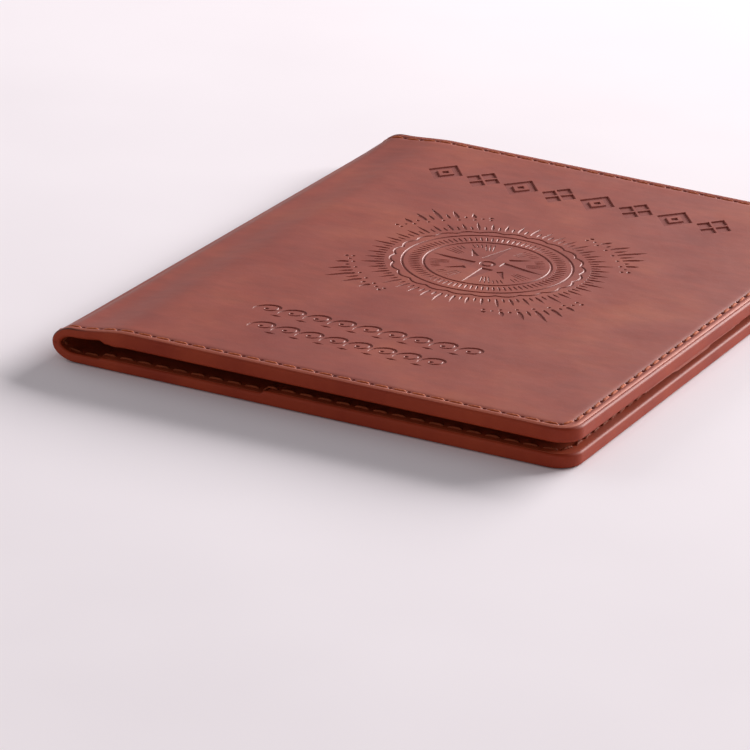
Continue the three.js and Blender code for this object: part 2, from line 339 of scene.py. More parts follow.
def make_piece(name, vertices, faces, pattern, material, **marks):
    mesh = bpy.data.meshes.new(name)
    mesh.from_pydata((np.asarray(vertices) * MM).tolist(), [], [list(f) for f in faces])
    place = mesh.attributes.new("pattern", "FLOAT_VECTOR", "POINT")
    place.data.foreach_set("vector", (np.asarray(pattern) * MM).astype(np.float32).ravel())
    for mark, values in marks.items():
        attribute = mesh.attributes.new(mark, "FLOAT", "POINT")
        attribute.data.foreach_set("value", np.asarray(values, np.float32))
    edit = bmesh.new()
    edit.from_mesh(mesh)
    bmesh.ops.recalc_face_normals(edit, faces=edit.faces)
    edit.to_mesh(mesh)
    edit.free()
    mesh.polygons.foreach_set("use_smooth", [True] * len(mesh.polygons))
    mesh.set_sharp_from_angle(angle=math.radians(SHARP_ANGLE))
    mesh.materials.append(material)
    piece = bpy.data.objects.new(name, mesh)
    bpy.context.scene.collection.objects.link(piece)
    print(f"{name}: {len(mesh.polygons)} faces")
    return piece


# %% Make a closed sheet between two depths
NEAR_SPINE = 14
UNDER_STEP = 3.0
UNDER_SHARE = 3


def make_sheet(name, place, outline, outer, inner, material,
               loops=(), spots=(), pressed=None, shade=None, pull_and_highlight=None):
    """A sheet between the depths outer(x, y, marks) and inner(x, y), closed all round."""
    top, top_faces, became = triangulate(outline, loops, spots)
    low, high = outline.min(0), outline.max(0)
    flat_from = low[0] + NEAR_SPINE
    under = [(x, y) for x, y in spots if x < flat_from][::UNDER_SHARE]
    under += list(grid(flat_from, high[0], low[1], high[1], UNDER_STEP, UNDER_STEP, UNDER_STEP))
    under = np.array(under)
    under = under[inside(under, outline)]
    base, base_faces, base_became = triangulate(outline, (), under)
    marks = np.zeros(len(top)) if pressed is None else pressed(top, became)
    top_depth = outer(top[:, 0], top[:, 1], marks)
    base_depth = inner(base[:, 0], base[:, 1])
    vertices = np.vstack([
        place(top[:, 0], top[:, 1], top_depth),
        place(base[:, 0], base[:, 1], base_depth),
    ])
    shift = len(top)
    faces = list(top_faces) + [[v + shift for v in reversed(f)] for f in base_faces]
    for i in range(len(outline)):
        j = (i + 1) % len(outline)
        faces.append([became[j], became[i], base_became[i] + shift, base_became[j] + shift])
    pattern = np.vstack([
        np.column_stack([top, 0 * top_depth]),
        np.column_stack([base, base_depth]),
    ])
    # Needle holes get painted shade: shade() is added to the pressed mark, which darkens them.
    if shade is not None:
        marks = np.maximum(marks > 0, shade(top[:, 0], top[:, 1]))
    pull_and_highlight_marks = np.zeros(len(top)) if pull_and_highlight is None else pull_and_highlight(top[:, 0], top[:, 1])
    hidden = np.zeros(len(base))
    return make_piece(name, vertices, faces, pattern, material,
                      pressed=np.concatenate([marks, hidden]),
                      pulled=np.concatenate([pull_and_highlight_marks, hidden]))


# %% [markdown]
# ## Leather
#
# Pull-up leather is waxed, so it is darker and redder in clouds where the wax sits. Along its
# rim it is coloured lighter and more orange: partly the pull-up lightening where it bends over
# the edge, partly a painted highlight on that rim. It is smooth, with pores far finer than a
# stitch, and half glossy. An image could be laid over it, but noise has no seams and stays
# sharp from near by. So noises at five scales give the clouds, the streaks, the changing
# gloss, the soft dents and the pores. Where the mesh is marked as pressed, the leather is
# matt and coloured darker: burnished by the dies, with painted shade in the die lines and in
# the needle holes.

# %% A small kit for node materials
def new_material(name):
    material = bpy.data.materials.new(name)
    material.use_nodes = True
    nodes = material.node_tree.nodes
    return material, nodes, material.node_tree.links, nodes["Principled BSDF"]


def pattern_place(nodes, links, stretch=(1, 1, 1)):
    attribute = nodes.new("ShaderNodeAttribute")
    attribute.attribute_name = "pattern"
    mapping = nodes.new("ShaderNodeMapping")
    mapping.inputs["Scale"].default_value = stretch
    links.new(attribute.outputs["Vector"], mapping.inputs["Vector"])
    return mapping.outputs["Vector"]


def noise(nodes, links, place, size_mm, detail=3.0, roughness=0.55):
    """Noise whose features are about size_mm across."""
    texture = nodes.new("ShaderNodeTexNoise")
    texture.inputs["Scale"].default_value = 1 / (size_mm * MM)
    texture.inputs["Detail"].default_value = detail
    texture.inputs["Roughness"].default_value = roughness
    links.new(place, texture.inputs["Vector"])
    return texture.outputs["Fac"]


def ramp(nodes, links, value, stops):
    """A colour or grey ramp: stops are (position, grey or rgb)."""
    node = nodes.new("ShaderNodeValToRGB")
    while len(node.color_ramp.elements) < len(stops):
        node.color_ramp.elements.new(0.5)
    for element, (position, colour) in zip(node.color_ramp.elements, stops):
        element.position = position
        rgb = (colour,) * 3 if isinstance(colour, (int, float)) else colour
        element.color = (*rgb, 1)
    links.new(value, node.inputs["Fac"])
    return node.outputs["Color"]


def mix(nodes, links, amount, a, b, blend="MIX"):
    node = nodes.new("ShaderNodeMix")
    node.data_type = "RGBA"
    node.blend_type = blend
    for socket, value in ((node.inputs[0], amount), (node.inputs[6], a), (node.inputs[7], b)):
        if isinstance(value, bpy.types.NodeSocket):
            links.new(value, socket)
        else:
            socket.default_value = value if isinstance(value, (int, float)) else (*value, 1)
    return node.outputs[2]


def bump(nodes, links, height, distance_mm, strength=1.0, under=None):
    node = nodes.new("ShaderNodeBump")
    node.inputs["Strength"].default_value = strength
    node.inputs["Distance"].default_value = distance_mm * MM
    links.new(height, node.inputs["Height"])
    if under is not None:
        links.new(under, node.inputs["Normal"])
    return node.outputs["Normal"]


def mark(nodes, name):
    attribute = nodes.new("ShaderNodeAttribute")
    attribute.attribute_name = name
    return attribute.outputs["Fac"]


# %% Waxed leather
PRESSED_ROUGH = 0.88
PULLED_ROUGH = 0.62


def pull_up_leather(name, dark, middle, light, burnished_and_shaded, pulled_and_lit_colour, roughness):
    material, nodes, links, shader = new_material(name)
    place = pattern_place(nodes, links)
    clouds = noise(nodes, links, place, size_mm=26, detail=4.0, roughness=0.6)
    colour = ramp(nodes, links, clouds, [(0.3, dark), (0.52, middle), (0.72, light)])
    streaked = pattern_place(nodes, links, stretch=(1.0, 3.2, 1.0))
    streaks = noise(nodes, links, streaked, size_mm=9, detail=5.0, roughness=0.65)
    tone = ramp(nodes, links, streaks, [(0.3, 0.78), (0.7, 1.0)])
    colour = mix(nodes, links, 0.8, colour, tone, "MULTIPLY")
    pressed, pulled = mark(nodes, "pressed"), mark(nodes, "pulled")
    # Darker where pressed: burnished by the dies, plus painted shade in die lines and needle
    # holes.
    colour = mix(nodes, links, pressed, colour, burnished_and_shaded)
    # The rim is coloured lighter: partly pull-up lightening, partly a painted highlight.
    colour = mix(nodes, links, pulled, colour, pulled_and_lit_colour)
    links.new(colour, shader.inputs["Base Color"])
    shine = noise(nodes, links, place, size_mm=14)
    rough = ramp(nodes, links, shine, [(0.3, roughness), (0.7, roughness + 0.1)])
    rough = mix(nodes, links, pressed, rough, (PRESSED_ROUGH,) * 3)
    rough = mix(nodes, links, pulled, rough, (PULLED_ROUGH,) * 3)
    links.new(rough, shader.inputs["Roughness"])
    pores = noise(nodes, links, place, size_mm=0.45, detail=2.0)
    dents = noise(nodes, links, place, size_mm=6, detail=2.0)
    normal = bump(nodes, links, dents, distance_mm=0.25, strength=0.35)
    normal = bump(nodes, links, pores, distance_mm=0.03, strength=0.5, under=normal)
    links.new(normal, shader.inputs["Normal"])
    shader.inputs["IOR"].default_value = 1.5
    shader.inputs["Coat Weight"].default_value = 0.1
    shader.inputs["Coat Roughness"].default_value = 0.4
    return material


outer_leather = pull_up_leather(
    "outer_pull_up_leather",
    dark=(0.26, 0.038, 0.024),
    middle=(0.31, 0.05, 0.027),
    light=(0.37, 0.072, 0.031),
    burnished_and_shaded=(0.21, 0.026, 0.014),
    pulled_and_lit_colour=(0.58, 0.132, 0.062),
    roughness=0.48,
)
lining_leather = pull_up_leather(
    "lining_leather",
    dark=(0.28, 0.036, 0.010),
    middle=(0.34, 0.048, 0.013),
    light=(0.40, 0.062, 0.018),
    burnished_and_shaded=(0.13, 0.018, 0.007),
    pulled_and_lit_colour=(0.40, 0.075, 0.03),
    roughness=0.48,
)
print("leathers:", outer_leather.name, lining_leather.name)

# %% [markdown]
# ## Edge paint
#
# Edge paint is a thick lacquer that pools into a smooth bead. It is sanded down after each
# coat, so here it is satin and not glossy. Its colour drifts a little, as the coats do, and
# round the spine its outer rim is coloured darker. The mesh carries that as its
# "pressed" mark, because a mark stays on the outer rim, which no noise would.

# %% Edge paint
def edge_lacquer():
    material, nodes, links, shader = new_material("edge_lacquer")
    place = pattern_place(nodes, links)
    drift = noise(nodes, links, place, size_mm=11)
    stops = [(0.3, (0.225, 0.019, 0.003)), (0.7, (0.285, 0.033, 0.007))]
    colour = ramp(nodes, links, drift, stops)
    # The outer rim round the spine is coloured darker, through the pressed mark.
    colour = mix(nodes, links, mark(nodes, "pressed"), colour, (0.075, 0.012, 0.006))
    links.new(colour, shader.inputs["Base Color"])
    waves = noise(nodes, links, place, size_mm=3, detail=2.0)
    normal = bump(nodes, links, waves, distance_mm=0.08, strength=0.4)
    links.new(normal, shader.inputs["Normal"])
    shader.inputs["Roughness"].default_value = 0.6
    shader.inputs["Specular IOR Level"].default_value = 0.25
    shader.inputs["Coat Weight"].default_value = 0.02
    shader.inputs["Coat Roughness"].default_value = 0.35
    return material


lacquer = edge_lacquer()
print("edge paint:", lacquer.name)

# %% [markdown]
# ## Thread
#
# The thread is waxed polyester, more matt than the leather round it. The twist of its plies
# is big enough to be modelled, so the material only adds what is smaller: an uneven dye and
# the fine fibres that run along it. Its ends, where they dive into the needle holes, are
# coloured darker as painted shade.

# %% Waxed thread
def waxed_thread(name, dark, light):
    material, nodes, links, shader = new_material(name)
    place = pattern_place(nodes, links)
    drift = noise(nodes, links, place, size_mm=2.5)
    colour = ramp(nodes, links, drift, [(0.3, dark), (0.7, light)])
    # The ends, where the thread dives into the holes, get painted shade.
    colour = mix(nodes, links, mark(nodes, "pressed"), colour, (0.13, 0.022, 0.009))
    links.new(colour, shader.inputs["Base Color"])
    drawn_out = pattern_place(nodes, links, stretch=(1, 6, 1))
    fibres = noise(nodes, links, drawn_out, size_mm=0.5, detail=2.0)
    normal = bump(nodes, links, fibres, distance_mm=0.05, strength=0.5)
    links.new(normal, shader.inputs["Normal"])
    shader.inputs["Roughness"].default_value = 0.75
    shader.inputs["Specular IOR Level"].default_value = 0.25
    return material


needle_thread = waxed_thread("needle_thread", dark=(0.38, 0.074, 0.022),
                             light=(0.50, 0.115, 0.036))
# The bobbin thread is a darker copy of the same thread, painted shade for the seam inside.
bobbin_thread_shaded = waxed_thread("bobbin_thread_shaded", dark=(0.20, 0.036, 0.011),
                             light=(0.26, 0.050, 0.016))
print("threads:", needle_thread.name, bobbin_thread_shaded.name)

# %% [markdown]
# ## Board
#
# The stiffener is bookbinder's board, pressed from grey pulp with lighter and darker flecks.
# It is hidden between leather and lining, so one noise for the flecks is all it needs.

# %% Grey board
def grey_board():
    material, nodes, links, shader = new_material("grey_board")
    flecks = noise(nodes, links, pattern_place(nodes, links), size_mm=0.8, detail=4.0)
    stops = [(0.35, (0.22, 0.18, 0.13)), (0.65, (0.34, 0.29, 0.22))]
    links.new(ramp(nodes, links, flecks, stops), shader.inputs["Base Color"])
    shader.inputs["Roughness"].default_value = 0.9
    return material


board_finish = grey_board()
print("board:", board_finish.name)

# %% [markdown]
# ## The blocked ornament
#
# The front cover is blocked with heated brass dies before it is sewn: a frieze of lozenges
# near the head, a compass rose in the middle and two rows of running scrolls near the tail.
# A bump map could fake it, but a die leaves a flat floor with short steep walls, which catch
# the light as real walls do. So each shape is drawn twice, once as its rim on the leather's
# face and once a little smaller as its floor. A shape may have a second outline, for a hole.

# %% Draw with rings and lozenges
ROSE = (1.6, 3.6)


def polar(radius, angle, centre=ROSE):
    return (centre[0] + radius * math.cos(angle), centre[1] + radius * math.sin(angle))


def ring(radius, count, centre=ROSE, wave=0.0, lobes=0):
    """A closed ring, with round lobes if a wave is given."""
    angles = np.linspace(0, 2 * math.pi, count, endpoint=False)
    return np.array([
        polar(radius + wave * abs(math.sin(lobes * a / 2)), a, centre) for a in angles
    ])


def lozenge(x, y, half_width, half_height):
    return np.array([
        (x + half_width, y), (x, y + half_height), (x - half_width, y), (x, y - half_height),
    ])


print("a ring of 12 points, from", ring(1.0, 12, (0, 0))[0], "on")

# %% Frieze
FRIEZE_Y = 50.6
FRIEZE_PITCH = 8.7
FRIEZE_COUNT = 8
FRAME, FRAME_HOLE, HEART = (4.0, 5.5), (1.9, 2.6), (0.9, 1.2)
UPRIGHT, UPRIGHT_OFF = (1.9, 2.5), 2.9
SIDEWAYS, SIDEWAYS_OFF = (1.8, 2.4), 2.1


def frieze():
    """A band of lozenges: a framed one and a cross of four small ones in turn."""
    shapes = []
    for i in range(FRIEZE_COUNT):
        x = (i - (FRIEZE_COUNT - 1) / 2) * FRIEZE_PITCH
        if i % 2 == 0:
            shapes.append([lozenge(x, FRIEZE_Y, *FRAME), lozenge(x, FRIEZE_Y, *FRAME_HOLE)])
            shapes.append([lozenge(x, FRIEZE_Y, *HEART)])
        else:
            for off in (UPRIGHT_OFF, -UPRIGHT_OFF):
                shapes.append([lozenge(x, FRIEZE_Y + off, *UPRIGHT)])
            for off in (SIDEWAYS_OFF, -SIDEWAYS_OFF):
                shapes.append([lozenge(x + off, FRIEZE_Y, *SIDEWAYS)])
    return shapes


bold = frieze()
print("frieze:", len(bold), "shapes")

# %% Compass rose
TICKS = 84
TICK_START, TICK_END, TICK_WIDTH = 13.6, 16.2, 0.26
RAYS = 96
RAY_START = 20.5
CHIEF_RAY, LONG_RAY, SHORT_RAY = 25.4, 24.4, 22.8
HATCHING = (-0.48, -0.4, -0.32, -0.24, -0.16, -0.08, 0.14, 0.22, 0.32, 0.4, 0.48)
HATCH_END, HATCH_WIDTH = 11.9, 0.17
PETAL_STEPS = (0.0, 0.3, 0.6, 0.85)
THINNEST = 0.08


def petal(angle, start, end, half_width):
    """A slim leaf that points away from the middle of the rose."""
    sides = []
    for sign in (1, -1):
        for t in PETAL_STEPS:
            width = half_width * math.sin(math.pi * (0.12 + 0.88 * t) ** 0.8)
            middle = start + (end - start) * t
            turn = sign * max(width, THINNEST) / middle
            sides.append((sign, polar(middle, angle + turn)))
    up = [p for sign, p in sides if sign < 0]
    down = [p for sign, p in reversed(sides) if sign > 0]
    return np.array(up + [polar(end, angle)] + down)


def compass_rose():
    """Rings, ticks, rays and an eight-pointed star with one half of each point pressed."""
    # The hub, two plain rings and a scalloped one, each with its inner outline.
    shapes = [
        [ring(1.7, 20), ring(0.9, 14)],
        [ring(13.0, 80), ring(12.4, 80)],
        [ring(17.3, 96), ring(16.7, 96)],
        [ring(18.9, 144, wave=0.75, lobes=24), ring(18.3, 144, wave=0.75, lobes=24)],
    ]
    for i in range(TICKS):
        shapes.append([petal(2 * math.pi * i / TICKS, TICK_START, TICK_END, TICK_WIDTH)])
    for i in range(RAYS):
        long_ray = i % 2 == 0
        end = CHIEF_RAY if i % 8 == 0 else LONG_RAY if long_ray else SHORT_RAY
        width = 0.36 if long_ray else 0.28
        shapes.append([petal(2 * math.pi * i / RAYS, RAY_START, end, width)])
    # A long point and a short one in each quarter, with hatching round the short one.
    for i in range(4):
        axis = math.pi / 2 * i
        shapes.append([np.array([
            polar(2.5, axis), polar(12.2, axis), polar(3.6, axis + math.pi / 4),
        ])])
        axis += math.pi / 4
        shapes.append([np.array([
            polar(4.9, axis), polar(9.4, axis), polar(5.2, axis + 0.3),
        ])])
        for turn in HATCHING:
            start = 7.6 if abs(turn) > 0.3 else 9.6
            shapes.append([petal(axis + turn, start, HATCH_END, HATCH_WIDTH)])
    return shapes


rose = compass_rose()
print("compass rose:", len(rose), "shapes")

# %% Corner sprays
LEAF_TURN = 0.062
LEAF_START, LEAF_END = 27.6, 34.2
LEAF_FALL, SHORT_BY = 0.95, 2.6
DOT_RADIUS, DOT_RING = 0.4, 26.6


def corner_sprays():
    """A fan of leaves beyond the rays at each of the four corners of the rose."""
    shapes = []
    for corner in range(4):
        axis = math.pi / 4 + math.pi / 2 * corner
        for leaf in range(-6, 7):
            turn, tall = LEAF_TURN * leaf, leaf % 2 == 0
            end = LEAF_END - LEAF_FALL * abs(leaf) - (0 if tall else SHORT_BY)
            shapes.append([petal(axis + turn, LEAF_START, end, 0.55 if tall else 0.36)])
        for dot in range(-6, 7, 2):
            centre = polar(DOT_RING, axis + LEAF_TURN * dot)
            shapes.append([ring(DOT_RADIUS, 8, centre)])
    return shapes


sprays = corner_sprays()
print("corner sprays:", len(sprays), "shapes")

# %% Running scrolls
SCROLL_SIZE = 2.7
SCROLL_POINTS = 15
CURL_FROM, CURL_TURN = 215, 330
CURL_IN = 0.62
CURL_THIN, CURL_THICK = 0.04, 0.13
CURL_LEAN = 0.35
# For each row: how high it stands, where it starts and ends, and how many curls it has.
SCROLL_ROWS = ((-43.4, -22.5, 20.5, 9), (-52.4, -19.0, 17.0, 8))


def scroll(x, y, size):
    """One curl of a running scroll: a tapering hook, thick in the middle."""
    inner, outer = [], []
    for t in np.linspace(0, 1, SCROLL_POINTS):
        angle = math.radians(CURL_FROM - CURL_TURN * t)
        radius = size * (1 - CURL_IN * t)
        half = size * (CURL_THIN + CURL_THICK * math.sin(math.pi * t ** 0.8))
        lean = CURL_LEAN * radius * math.sin(angle)
        outer.append((x + lean + (radius + half) * math.cos(angle),
                      y + (radius + half) * math.sin(angle)))
        inner.append((x + lean + (radius - half) * math.cos(angle),
                      y + (radius - half) * math.sin(angle)))
    return np.array(inner + outer[::-1])


def running_scrolls():
    """Rows of curls, each with a dot in it and a small lozenge before the next."""
    shapes = []
    for y, left, right, count in SCROLL_ROWS:
        xs = np.linspace(left, right, count)
        shapes += [[scroll(x, y, SCROLL_SIZE)] for x in xs]
        shapes += [[ring(0.5, 9, (x - 0.4, y - 0.2))] for x in xs]
        for a, b in zip(xs, xs[1:]):
            middle = ((a + b) / 2 + 0.3, y - 2.9)
            shapes.append([lozenge(*middle, 1.3, 0.42)])
    return shapes


scrolls = running_scrolls()
print("running scrolls:", len(scrolls), "shapes")

# %% Give each shape its rim and its floor
DEEP, SHALLOW = 0.27, 0.16
WALL_RUN = 0.14
DIE_STEP = 1.2
MITRE_LIMIT = 3.0
TINY = 1e-6


def shrink(loop, amount):
    """Moves a loop's points inwards along the mean normal of their two edges."""
    ahead = np.roll(loop, -1, 0) - loop
    ahead /= np.linalg.norm(ahead, axis=1)[:, None]
    behind = np.roll(ahead, 1, 0)
    area = np.sum(loop[:, 0] * np.roll(loop[:, 1], -1) - loop[:, 1] * np.roll(loop[:, 0], -1))
    normal = ahead + behind
    normal = np.column_stack([-normal[:, 1], normal[:, 0]]) * np.sign(area)
    length = np.maximum(np.linalg.norm(normal, axis=1), TINY)
    stretch = np.minimum(2 / length, MITRE_LIMIT)
    return loop + normal / length[:, None] * (amount * stretch)[:, None]


def resample(loop, longest):
    """Adds points on long straight sides."""
    points = []
    for a, b in zip(loop, np.roll(loop, -1, 0)):
        count = max(1, math.ceil(np.hypot(*(b - a)) / longest))
        points += [a + (b - a) * i / count for i in range(count)]
    return np.array(points)


fine = rose + sprays + scrolls
ornament = [(shape, DEEP) for shape in bold] + [(shape, SHALLOW) for shape in fine]
rims, floors, depths = [], [], []
for shape, press_depth in ornament:
    for level, loop in enumerate(shape):
        loop = resample(loop, DIE_STEP)
        rims.append(loop)
        floors.append(shrink(loop, WALL_RUN if level == 0 else -WALL_RUN))
        depths.append(press_depth)
print("rims and floors:", sum(len(r) for r in rims) + sum(len(f) for f in floors), "points")

# %% [markdown]
# ## The outer leather
#
# Near its edge the leather does three things: it rolls down to the painted edge, it swells a
# little where the edge was creased, and it is drawn into a groove by the seam. All of that
# depends only on the distance from the edge, so one function of that distance is enough, and
# nothing has to be carved. Every needle hole is a small pit coloured darker with painted
# shade, and both depend on the distance from the hole.

# %% Where the needle goes
STITCH = 3.81
WALK_STEP = 0.25


def needle_holes(start_x):
    """Evenly spaced places along the seam, from the spine's tip round to the tip again."""
    points, _ = edge_walk(seam_inset, start_x, WALK_STEP)
    gaps = np.hypot(*np.diff(points, axis=0).T)
    travelled = np.concatenate([[0], np.cumsum(gaps)])
    count = round(travelled[-1] / STITCH)
    at = np.linspace(0, travelled[-1], count + 1)
    return np.column_stack([np.interp(at, travelled, points[:, i]) for i in (0, 1)])


front_holes = needle_holes(upper_tip)
back_holes = needle_holes(lower_tip)
print(len(front_holes), "holes in front,", len(back_holes), "at the back")

# %% The leather's face near the edge
ROLL = 0.3
ROLL_FROM, ROLL_RUN = 1.5, 1.1
SWELL = 0.05
SWELL_IN, SWELL_WIDTH = 1.25, 0.4
GROOVE = 0.17
GROOVE_WIDTH = 0.58
# The rim is coloured lighter: partly pull-up lightening, partly a painted highlight.
RIM_PULL_AND_HIGHLIGHT = 0.75
RIM_IN, RIM_WIDTH = 0.8, 0.45


def hill(distance, middle, width):
    """A soft ridge that is 1 high at its middle."""
    return np.exp(-((distance - middle) / width) ** 2)


def face_depth(x, y):
    """How deep the leather's face lies below a flat sheet."""
    i = distance_in(x, y)
    roll = ROLL * np.clip((ROLL_FROM - i) / ROLL_RUN, 0, 1) ** 2
    swell = SWELL * hill(i, SWELL_IN, SWELL_WIDTH)
    return roll - swell + GROOVE * hill(i, seam_inset, GROOVE_WIDTH)


def rim_pull_and_highlight(x, y):
    """Lighter rim: part pull-up lightening over the bend, part painted highlight."""
    return RIM_PULL_AND_HIGHLIGHT * hill(distance_in(x, y), RIM_IN, RIM_WIDTH)


print(f"the seam lies {float(face_depth(0.0, head_y - seam_inset)):.2f} mm deep")

# %% Scatter points where the face bends
EDGE_LINES = [0.6, 0.85, 1.15, 1.45, 1.65, 1.85, 2.02, 2.2, 2.38, 2.55, 2.75, 3.0, 3.4, 4.1]
FIRST_SPOT = 0.35
HOLE_RADIUS, HOLE_POINTS = 0.48, 9
HOLE_FLOOR, FLOOR_POINTS = 0.24, 6
HOLE_DEPTH = 0.38


def edge_spots(start_x, step):
    """Loose points on lines along the edge, closest together where the face bends."""
    return np.vstack([edge_walk(i, start_x + FIRST_SPOT, step)[0] for i in EDGE_LINES])


def hole_spots(holes, radius, count):
    """A ring of points round every hole that lies clear of the spine's tip."""
    return np.vstack([
        ring(radius, count, centre) for centre in holes if centre[0] > spine_x + 1
    ])


def tree_of(points):
    """A tree that finds the nearest of these points quickly."""
    tree = kdtree.KDTree(len(points))
    for i, point in enumerate(points):
        tree.insert((*point, 0), i)
    tree.balance()
    return tree


def far_from(points, others, distance):
    """The points that are at least a distance away from all the others."""
    tree = tree_of(others)
    return np.array([p for p in points if tree.find((*p, 0))[2] > distance])


print("points near the edge:", len(edge_spots(upper_tip, EDGE_STEP)))

# %% How deep the dies press each point
def pressed_depths(points, became, first_rim):
    """Rims stay on the face, and floors and what lies within them get their die's depth."""
    first_floor = first_rim + sum(len(r) for r in rims)
    after_floors = first_floor + sum(len(f) for f in floors)
    marks, crossed = np.zeros(len(points)), np.zeros(len(points), int)
    for rim, depth in zip(rims, depths):
        within = inside(points, rim)
        marks[within] = depth
        crossed += within
    marks[crossed % 2 == 0] = 0
    marks[became[first_rim:first_floor]] = 0
    marks[became[first_floor:after_floors]] = np.repeat(depths, [len(f) for f in floors])
    return marks


print("the dies press", len(depths), "outlines, the deepest by", max(depths), "mm")

# %% Cut one cover's leather, with or without the ornament
SHEET_GAP = 0.03
BEND_RUN = 12
BEND_STEP, ROW_STEP = 0.5, 3.0
FACE_STEP = 1.8
BEND_INSET, FACE_INSET = 4.4, 4.8
CLEAR_OF_HOLES = 0.12
CLEAR_OF_DIES = 0.4


def outer_skin(name, place, start_x, holes, blocked):
    outline = patch(start_x, -head_y, head_y, EDGE_INSET, EDGE_STEP)
    edge = far_from(edge_spots(start_x, EDGE_STEP), holes, HOLE_RADIUS + CLEAR_OF_HOLES)
    pits = np.vstack([
        hole_spots(holes, HOLE_RADIUS, HOLE_POINTS),
        hole_spots(holes, HOLE_FLOOR, FLOOR_POINTS),
    ])
    flat_x = start_x + BEND_RUN
    bend = grid(start_x, flat_x, -head_y, head_y, BEND_STEP, ROW_STEP, BEND_INSET)
    flat = grid(flat_x, fore_x, -head_y, head_y, FACE_STEP, FACE_STEP, FACE_INSET)
    loops = rims + floors if blocked else []
    if blocked:
        flat = far_from(flat, np.vstack(loops), CLEAR_OF_DIES)
    spots = np.vstack([edge, pits, bend, flat])
    near_hole = tree_of(holes)

    def pressed(points, became):
        return pressed_depths(points, became, len(outline))

    def pit(x, y):
        gap = np.array([near_hole.find((a, b, 0))[2] for a, b in zip(x, y)])
        return np.clip((HOLE_RADIUS - gap) / (HOLE_RADIUS - HOLE_FLOOR), 0, 1)

    def outer(x, y, marks):
        return face_depth(x, y) + HOLE_DEPTH * pit(x, y) + marks

    def inner(x, y):
        return np.full(len(x), skin_depth - SHEET_GAP)

    return make_sheet(name, place, outline, outer, inner, outer_leather,
                      loops, spots, pressed if blocked else None, pit, rim_pull_and_highlight)


front_leather = outer_skin("front_leather", front_place, upper_tip, front_holes, True)
back_leather = outer_skin("back_leather", back_place, lower_tip, back_holes, False)

# %% [markdown]
# ## What lies under the leather
#
# Inside each cover is a stiff board, and over it the lining, which dips into the spine where
# the board stops. The pockets lie on it, each a sheet of its own. Real sheets drape over each
# other's edges, and a simulation could drape them. But they are glued flat, so it is enough
# to say how deep each one lies, with a short ramp beside the spine and at every edge below.

# %% Depths of the lining
LINING = 0.6
HAIR = 0.01
RAMP = 1.3
ramp_end = board_low.x - 0.2


def lining_outer(x, y):
    lift = board_depth - skin_depth + SHEET_GAP
    return skin_depth + HAIR + lift * smooth((x - ramp_end + RAMP) / RAMP)


def lining_inner(x, y):
    return lining_outer(x, y) + LINING - HAIR


print(f"the lining lies {float(lining_outer(20.0, 0.0)):.2f} mm deep on the board")

# %% Depths of the pockets
PANEL = 0.4
STRIP = 0.3
POCKET_RAMP = 0.9
STRIP_RAMP = 1.6
strip_step = STRIP + SHEET_GAP
strip_floor = panel_depth + PANEL + SHEET_GAP
panel_x = panel_low.x
strip_x = strip_corners[0][0].x
strip_tops = [high.y for low, high in strip_corners]
strip_ends = [low.y for low, high in strip_corners]


def under_strip(index, y):
    """How many strips lie under one strip at y."""
    ended = sum(np.clip((strip_ends[j] - y) / STRIP_RAMP, 0, 1) for j in range(index))
    return index - ended


def over_strips(y):
    """How many strips lie on the panel at y."""
    begun = sum(np.clip((top + STRIP_RAMP - y) / STRIP_RAMP, 0, 1) for top in strip_tops)
    ended = sum(np.clip((end - y) / STRIP_RAMP, 0, 1) for end in strip_ends[:-1])
    return begun - ended


def front_inside(x, y):
    """Depth of what shows on the inside of the front cover."""
    on_panel = smooth((x - panel_x + POCKET_RAMP) / POCKET_RAMP)
    on_strip = smooth((x - strip_x + POCKET_RAMP) / POCKET_RAMP)
    depth = lining_inner(x, y) + (panel_depth + PANEL - lining_depth + SHEET_GAP) * on_panel
    return depth + strip_step * over_strips(y) * on_strip


def back_inside(x, y):
    """The same for the back cover."""
    on_sleeve = smooth((x - sleeve_low.x + POCKET_RAMP) / POCKET_RAMP)
    return lining_inner(x, y) + (sleeve_depth - lining_depth + SHEET_GAP) * on_sleeve


print(f"inside faces: front {float(front_inside(0.0, -60.0)):.2f} mm, "
      f"back {float(back_inside(20.0, 0.0)):.2f} mm deep")

# %% Boards and linings
INNER_INSET = 0.5
SHEET_STEP = 2.8
FOLD_STEP = 0.35
CLEAR_OF_EDGE = 0.8


def even(depth):
    return lambda x, y, marks=None: np.full(len(x), depth)


def flat_sheet(name, place, x_low, y_low, y_high, outer, inner, material, step=2.0):
    outline = patch(x_low, y_low, y_high, INNER_INSET, step)
    flat_x, clear = x_low + NEAR_SPINE, INNER_INSET + CLEAR_OF_EDGE
    near_fold = grid(x_low, flat_x, y_low, y_high, FOLD_STEP, SHEET_STEP, clear)
    flat = grid(flat_x, fore_x, y_low, y_high, SHEET_STEP, SHEET_STEP, clear)
    spots = np.vstack([near_fold, flat])
    return make_sheet(name, place, outline, outer, inner, material, (), spots)


boards, linings = {}, {}
for side, place, tip in (("front", front_place, upper_tip), ("back", back_place, lower_tip)):
    boards[side] = flat_sheet(
        f"{side}_board", place, board_low.x, -head_y, head_y,
        even(skin_depth), even(board_depth), board_finish, 4.0,
    )
    linings[side] = flat_sheet(
        f"{side}_cover_lining", place, tip, -head_y, head_y,
        lambda x, y, marks: lining_inner(x, y), lining_outer, lining_leather,
    )

# %% [markdown]
# ## Pockets
#
# The passport's back cover slides under the sleeve. Cards go into three slots, each one a
# strip that covers the lower end of the one above. Their open edges are turned and creased,
# so each has a soft roll and a pressed line just below it. A bevel could round the edge, but
# the crease would still have to be cut in, so one depth function makes both. Points are only
# scattered closely where that function bends.

